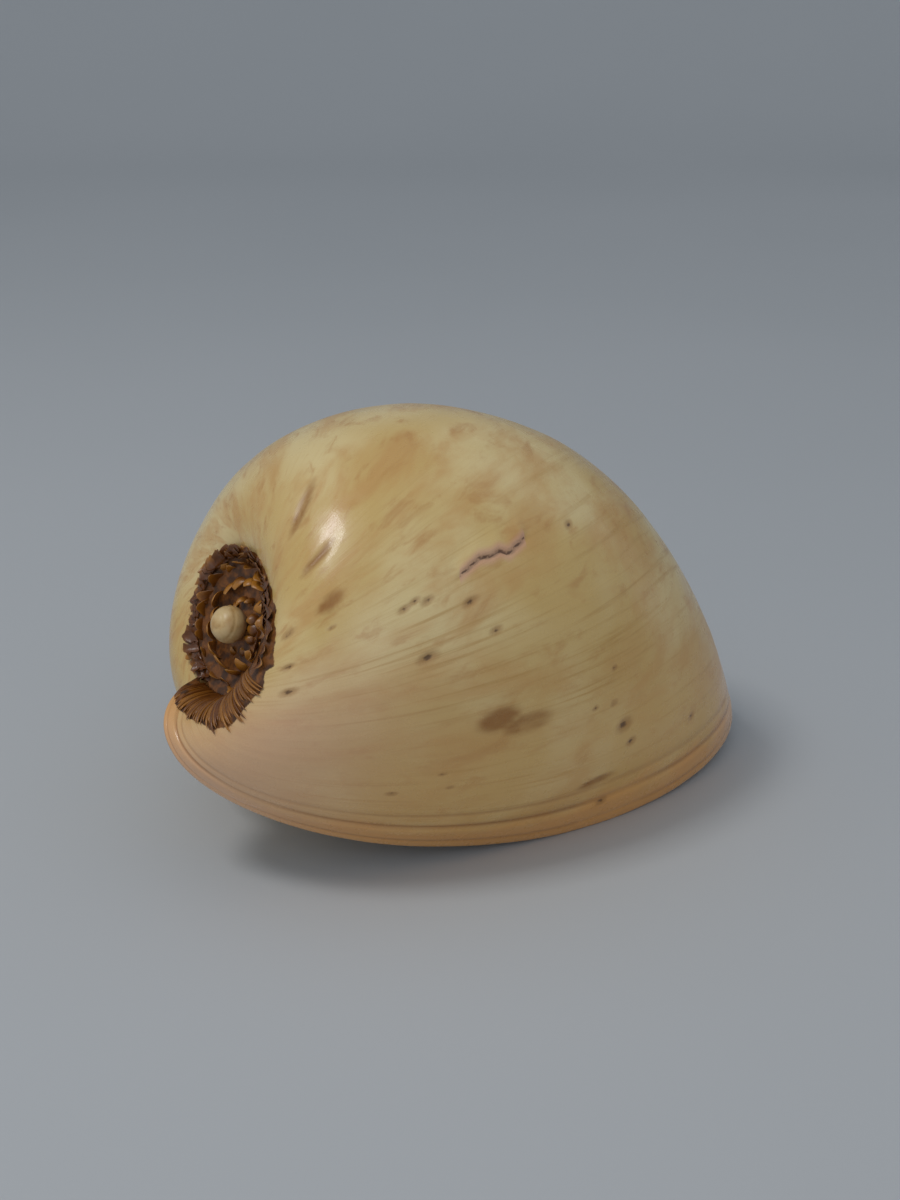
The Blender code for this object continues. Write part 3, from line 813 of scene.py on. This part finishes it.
# Rows of scales along the edge of the skin: count, share of the skin's reach, and length in mm.
SKIN_EDGE_ROWS = ((40, 0.84, 3.4), (36, 0.56, 4.0), (30, 0.26, 4.0))
SKIN_EDGE_TURNS = (-0.765, -0.075)
SKIN_EDGE_THICK = 0.35
SKIN_EDGE_RAGGED = 0.8


def skin_edge_row(row):
    """Dark ragged scales along the edge of the skin, which overlap and lean out. Gives grid, edge, tone."""
    count, share, length = SKIN_EDGE_ROWS[row]
    turn = np.linspace(*SKIN_EDGE_TURNS, count) + scatter(count, 20 + row, -0.006, 0.006)
    root = skin_reach(turn) * share
    radius, height = offset_section(turn, root, np.full(count, 0.1))
    low_radius, low_height = section(turn, root + 0.01)
    slope = np.arctan2(low_height - height, low_radius - radius)
    grid, edge = leaves(turn, radius - 1.0, height, length * scatter(count, 40 + row, 0.7, 1.2),
                        scatter(count, 50 + row, 1.3, 2.6), slope + scatter(count, 60 + row, 0.15, 0.65),
                        scatter(count, 70 + row, -0.8, -0.1), scatter(count, 80 + row, -0.7, 0.9),
                        SKIN_EDGE_THICK, scatter(count, 90 + row, -1.2, 1.2), SKIN_EDGE_RAGGED, 3 + row)
    return grid, edge, scatter(count, 100 + row, 0.2, 0.8)


# Rings of scales in the spire dish, in mm and radians. A pair holds the least and the greatest.
SCALE_RINGS = (
    # On the wall of the dish.
    {"count": 24, "seed": 110, "uneven": 0.25, "radius": 16.6, "sway": 0.6, "height": -1.6,
     "length": (3.6, 5.4), "width": (1.6, 2.7), "lean": (1.2, 1.6), "curl": (-0.6, 0.9),
     "cup": (-0.3, 0.5), "thick": 0.5, "twist": 0.6, "ragged": 0.4, "cut_seed": 9, "tone": (0.4, 1.0)},
    # Broad golden plates that fold inwards.
    {"count": 15, "seed": 120, "uneven": 0.25, "radius": 13.2, "sway": 0.8, "height": -2.4,
     "length": (5.0, 7.5), "width": (2.2, 3.4), "lean": (1.2, 1.7), "curl": (0.9, 1.7),
     "cup": (0.1, 0.6), "thick": 0.6, "twist": 0.4, "ragged": 0.2, "cut_seed": 11, "tone": (0.9, 1.3)},
    # Small curls close to the dome.
    {"count": 11, "seed": 140, "uneven": 0.3, "radius": 8.2, "sway": 0.8, "height": -1.5,
     "length": (3.6, 5.4), "width": (1.3, 2.1), "lean": (1.3, 1.9), "curl": (1.2, 2.4),
     "cup": (0.4, 1.0), "thick": 0.5, "twist": 0.5, "ragged": 0.2, "cut_seed": 13, "tone": (0.7, 1.2)},
)


def scale_ring(count, seed, uneven, radius, sway, height, length, width, lean, curl, cup, thick, twist,
               ragged, cut_seed, tone):
    """Scales in a ring round the apex. Each size that varies has a seed of its own."""
    turn = (np.arange(count) + scatter(count, seed, -uneven, uneven)) / count
    grid, edge = leaves(turn, radius + scatter(count, seed + 1, -sway, sway), height,
                        scatter(count, seed + 2, *length), scatter(count, seed + 3, *width),
                        scatter(count, seed + 4, *lean), scatter(count, seed + 5, *curl),
                        scatter(count, seed + 6, *cup), thick, scatter(count, seed + 7, -twist, twist),
                        ragged, cut_seed)
    return grid, edge, scatter(count, seed + 8, *tone)


def spire_scales(collection, place_of, material):
    """All dried scales as one piece: the rows along the skin's edge, then the rings in the dish."""
    groups = [skin_edge_row(row) for row in range(len(SKIN_EDGE_ROWS))]
    groups += [scale_ring(**ring) for ring in SCALE_RINGS]
    faces = []
    total = 0
    for grid, edge, tone in groups:
        faces.extend(tube_faces(*grid.shape[:3], total))
        total += edge.size
    points = np.concatenate([grid.reshape(-1, 3) for grid, edge, tone in groups])
    edges = np.concatenate([edge.reshape(-1) for grid, edge, tone in groups])
    tones = np.concatenate([np.repeat(tone, edge[0].size) for grid, edge, tone in groups])
    made = mesh_object("spire_scales", place_of(points), faces, collection, material)
    set_attribute(made, "edge", edges)
    set_attribute(made, "tone", tones)
    return made


FAN_RIBS = 62
FAN_TURNS = (-0.040, 0.215)
FAN_START = 0.002
FAN_SKEW = 0.012
RIB_ROWS = 18
RIB_AROUND = 8


def ribbed_fan(collection, place_of, material):
    """The fan: ribs that run from the suture out over the shoulder of the youngest part."""
    spread = np.linspace(*FAN_TURNS, FAN_RIBS) + scatter(FAN_RIBS, 150, -0.0012, 0.0012)
    s = np.linspace(0, 1, RIB_ROWS)[None, :, None]
    a = np.linspace(0, 2 * math.pi, RIB_AROUND, endpoint=False)[None, None, :]
    reach = (skin_reach(spread) * scatter(FAN_RIBS, 151, 0.92, 1.16))[:, None, None]
    place = FAN_START + s * (reach - FAN_START)
    turn = spread[:, None, None] - FAN_SKEW * s
    thick = scatter(FAN_RIBS, 152, 0.32, 0.6)[:, None, None] * np.sqrt(np.clip(1 - s ** 6, 0.0, 1))
    lift = 0.35 + thick * (0.6 + 0.9 * np.sin(a))
    turn, place, lift = np.broadcast_arrays(turn, place, lift)
    radius, height = offset_section(turn, place, lift)
    wide = 0.60 + 0.44 * s
    shift = wide * thick * np.cos(a) / (2 * math.pi * radius)
    ribs = on_axis(radius, turn + shift, height)
    tone = scatter(FAN_RIBS, 153, 0.5, 1.1)[:, None, None]
    faces = tube_faces(FAN_RIBS, RIB_ROWS, RIB_AROUND)
    made = mesh_object("ribbed_fan", place_of(ribs.reshape(-1, 3)), faces, collection, material)
    set_attribute(made, "edge", np.broadcast_to(0.35 + 0.3 * s, ribs.shape[:3]))
    set_attribute(made, "tone", np.broadcast_to(tone, ribs.shape[:3]))
    return made


DOME_RADIUS = 5.2
DOME_HEIGHT = 3.6
DOME_SQUASH = 0.95
DOME_CUT = 0.72 * math.pi
DOME_GROOVE = 0.12
GROOVE_PITCH = 0.75
DOME_RINGS = 36
DOME_AROUND = 48


def embryonic_dome(collection, place_of, material):
    """The embryonic shell: a ball cut by the dish, with a faint groove that winds up it."""
    polar = np.linspace(0.02, DOME_CUT, DOME_RINGS)[:, None]
    angle = np.linspace(0, 2 * math.pi, DOME_AROUND, endpoint=False)[None, :]
    winding = (polar / GROOVE_PITCH - angle / (2 * math.pi)) % 1.0
    size = DOME_RADIUS - DOME_GROOVE * bump(winding, 0.5, 0.1)
    dome = np.stack([size * np.sin(polar) * np.cos(angle), size * np.sin(polar) * np.sin(angle),
                     DOME_HEIGHT + size * DOME_SQUASH * np.cos(polar)], -1)
    grid = np.arange(DOME_RINGS * DOME_AROUND).reshape(DOME_RINGS, DOME_AROUND)
    top = fan(grid[0, 0], grid[0, 1:])
    bottom = fan(grid[-1, 0], grid[-1, ::-1][:-1])
    faces = [quads(grid, wrap_columns=True), top, bottom]
    made = mesh_object("embryonic_dome", place_of(dome.reshape(-1, 3)), faces, collection, material)
    set_attribute(made, "edge", np.broadcast_to(1 - polar / DOME_CUT, grid.shape))
    return made


DISH_TO_LIP = 300.0
PILLAR_TO_LIP = 12.0
FAR_FROM_MARKS = 9.0


def growth_numbers(count, out, tube):
    """Age, place along the section and mm back from the lip, for every vertex of the shell.

    On the pillar, place runs on past the foot. In the hollow it runs round the ring, and age falls
    from 1 at the lip. The dish and the pillar have a distance from the lip that keeps its colours off.
    """
    age, along = np.zeros(count), np.zeros(count)
    dish, pillar = DISH_RINGS.size, DISH_RINGS.size + PLACES.size
    inner_places = PLACES[0, SHOULDER_COLUMNS:]
    age[out] = AGES
    age[tube] = 1 - HOLLOW_AGES
    along[out[:, dish:pillar]] = PLACES
    along[out[:, pillar:]] = 1 + np.linspace(0, 0.2, out.shape[1] - pillar)[None, :]
    along[tube] = np.concatenate([inner_places, np.linspace(1, 1.2, PILLAR_COLUMNS), 1.2 + inner_places])
    to_lip = (1 - age) * AGE_MM
    to_lip[out[:, :dish]] = DISH_TO_LIP
    to_lip[out[:, pillar:]] = np.maximum(to_lip[out[:, pillar:]], PILLAR_TO_LIP)
    return age, along, to_lip


def wear_and_painted_shade(age, place):
    """What the enamel reads of the last whorl, its marks and a painted shade at the rim under the ear: pit
    and crack are distances, the rest run from 0 up.
    """
    to_lip = (1 - age) * AGE_MM
    first = first_crease(place)
    crease = bump(to_lip, first, 0.8) + 0.6 * bump(to_lip, first + SECOND_CREASE, 0.7)
    crease = crease + 0.5 * bump(to_lip, EDGE_CREASE, 0.8)
    # Painted shade: the rim of the lip under the ear is darkened for the shadow it lies in.
    crease = crease + 1.2 * bump(to_lip, 0.0, 1.3) * bump(place, 0.16, 0.07)
    crease = crease * smooth(flat_clouds(place * 14, to_lip / 30, 9), -0.6, 0.3)
    stain = np.zeros_like(age)
    for middle_age, middle_place, half_age, half_across, depth, turned in DENTS:
        far = mark_distance(age, place, middle_age, middle_place, half_age, half_across, turned)
        stain = np.maximum(stain, 0.9 * (1 - smooth(far, 0.55, 1.1)))
    pit = np.full_like(age, FAR_FROM_MARKS)
    for middle_age, middle_place, radius, depth in PITS:
        far = mark_distance(age, place, middle_age, middle_place, radius, radius)
        pit = np.minimum(pit, far)
    side, within = crack_distance(age, place)
    crack = np.where(within > 0.3, np.abs(side - 0.3), FAR_FROM_MARKS)
    pink = bump(place, 0.20, 0.09) * smooth(age, 0.76, 0.88)
    pink = pink + 0.8 * smooth(place, 0.62, 0.78) * smooth(age, 0.8, 0.95)
    reach = skin_reach(lip(place) - 1 + age)
    skin = 1 - smooth(place / reach, 0.9, 1.12)
    return {"pink": pink, "crease": crease, "stain": stain, "pit": pit, "crack": crack, "skin": skin}


def growth_map(shell, age, along):
    """The map that streaks and clouds follow, in mm: growth along U, the section along V."""
    layer = shell.data.uv_layers.new(name="growth")
    corner = np.empty(len(shell.data.loops), np.int32)
    shell.data.loops.foreach_get("vertex_index", corner)
    flat = np.stack([age[corner] * AGE_MM, along[corner] * SECTION_MM], -1).astype(np.float32)
    layer.data.foreach_set("uv", flat.ravel())


def shell_piece(collection, material):
    """The main surface, with the numbers that its material reads. Also gives the map to the frame."""
    points, faces, polygon, out, tube = shell_grids()
    points = laid(points)
    low, high = points.min(0), points.max(0)
    box_low, box_high = (np.array(corner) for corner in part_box("shell"))
    scale = (box_high - box_low) / (high - low)
    offset = box_low - low * scale

    def place_of(local):
        """Points on the shell's axis, in the frame: the same lie, fitted to the solid's box."""
        return laid(local) * scale + offset

    shell = mesh_object("shell_enamel", points * scale + offset, faces, collection, material, [polygon])
    count = len(points)
    age, along, to_lip = growth_numbers(count, out, tube)
    outside = np.zeros(count)
    outside[out] = 1
    outside[tube[0]] = 1
    set_attribute(shell, "to_lip", to_lip)
    set_attribute(shell, "outside", outside)
    dish = DISH_RINGS.size
    top = count - 2
    for name, values in wear_and_painted_shade(*np.broadcast_arrays(AGES, PLACES)).items():
        full = np.full(count, FAR_FROM_MARKS if name in ("pit", "crack") else 0.0)
        full[out[:, dish:dish + PLACES.size]] = values
        if name == "skin":
            full[out[:, :dish]] = 1
            full[top] = 1
        set_attribute(shell, name, full)
    growth_map(shell, age, along)
    return shell, place_of


# The stage and the light, in metres and watts. The sweep turns with the view.
SWEEP_HEADING_DEG = 39.89
SWEEP_HALF_WIDTH = 3.0
SWEEP_NEAR = -2.0
SWEEP_BEND = 1.2
SWEEP_RADIUS = 0.8
SWEEP_TOP = 2.5
ROOM_COLOUR = "#D3DCE6"
ROOM_STRENGTH = 0.56
# Each lamp is a square that faces the shell: name, place, size, power, colour.
LAMPS = (("window", (-0.55, 0.10, 1.0), 0.26, 3.0, "#FFFFFF"),
         ("front_fill", (-1.0, -1.2, 0.8), 1.0, 2.0, "#EEF3FA"))
CAMERA_PLACE = (-0.31518, -0.36908, 0.25279)
CAMERA_ALONG = (0.59828, 0.70799, -0.37525)
CAMERA_LENS_MM = 53.655
SENSOR_MM = 36.0


def matt_paper():
    """Pale matt paper with a faint cloud of tone."""
    material, tree, surface = new_material("pale_matt_paper")
    spot = add(tree, "ShaderNodeTexCoord").outputs["Object"]
    tone = blend(tree, noise(tree, spot, 2.5, 2.0), linear("#BCBEBF"), linear("#C4C5C6"))
    tree.links.new(tone, surface.inputs["Base Color"])
    surface.inputs["Roughness"].default_value = 0.8
    return material


def pale_sweep(collection):
    """A floor that bends up behind the shell in a quarter of a circle, and on to its top."""
    arc = np.linspace(0, math.pi / 2, 24)
    y = np.concatenate([[SWEEP_NEAR], SWEEP_BEND + SWEEP_RADIUS * np.sin(arc), [SWEEP_BEND + SWEEP_RADIUS]])
    z = np.concatenate([[0], SWEEP_RADIUS - SWEEP_RADIUS * np.cos(arc), [SWEEP_TOP]])
    x = np.linspace(-SWEEP_HALF_WIDTH, SWEEP_HALF_WIDTH, 9)
    across, depth = np.meshgrid(x, y, indexing="ij")
    rise = np.broadcast_to(z, across.shape)
    heading = math.radians(SWEEP_HEADING_DEG)
    points = np.stack([across * math.cos(heading) + depth * math.sin(heading),
                       depth * math.cos(heading) - across * math.sin(heading), rise], -1)
    grid = np.arange(across.size).reshape(across.shape)
    return mesh_object("pale_sweep", points.reshape(-1, 3), [quads(grid)], collection, matt_paper())


def light_up(scene):
    """A soft room, a bright window from the upper left and a weak fill from the front."""
    world = bpy.data.worlds.new("soft_room")
    world.use_nodes = True
    background = world.node_tree.nodes["Background"]
    background.inputs["Color"].default_value = linear(ROOM_COLOUR)
    background.inputs["Strength"].default_value = ROOM_STRENGTH
    scene.world = world
    for name, at, size, power, colour in LAMPS:
        light = bpy.data.lights.new(name, "AREA")
        light.shape = "SQUARE"
        light.size = size
        light.energy = power
        light.color = linear(colour)[:3]
        lamp = bpy.data.objects.new(name, light)
        lamp.location = at
        lamp.rotation_euler = (-lamp.location).to_track_quat("-Z", "Y").to_euler()
        scene.collection.objects.link(lamp)


def aim_camera(scene):
    """The camera of the photograph's view, at its place and along its line of sight."""
    camera = bpy.data.cameras.new("camera")
    camera.sensor_width = SENSOR_MM
    camera.lens = CAMERA_LENS_MM
    seen_by = bpy.data.objects.new("camera", camera)
    seen_by.location = CAMERA_PLACE
    seen_by.rotation_euler = type(seen_by.location)(CAMERA_ALONG).to_track_quat("-Z", "Y").to_euler()
    scene.collection.objects.link(seen_by)
    scene.camera = seen_by
    scene.view_settings.view_transform = "Standard"


def main():
    """Build the pieces, the stage and the light."""
    scene = bpy.context.scene
    shell, place_of = shell_piece(scene.collection, enamel())
    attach(shell, "root")
    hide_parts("shell")
    skin = dried_skin()
    for piece in (spire_scales(scene.collection, place_of, skin),
                  ribbed_fan(scene.collection, place_of, skin),
                  embryonic_dome(scene.collection, place_of, embryo_enamel())):
        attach(piece, "root")
    floor = pale_sweep(scene.collection)
    light_up(scene)
    aim_camera(scene)


main()
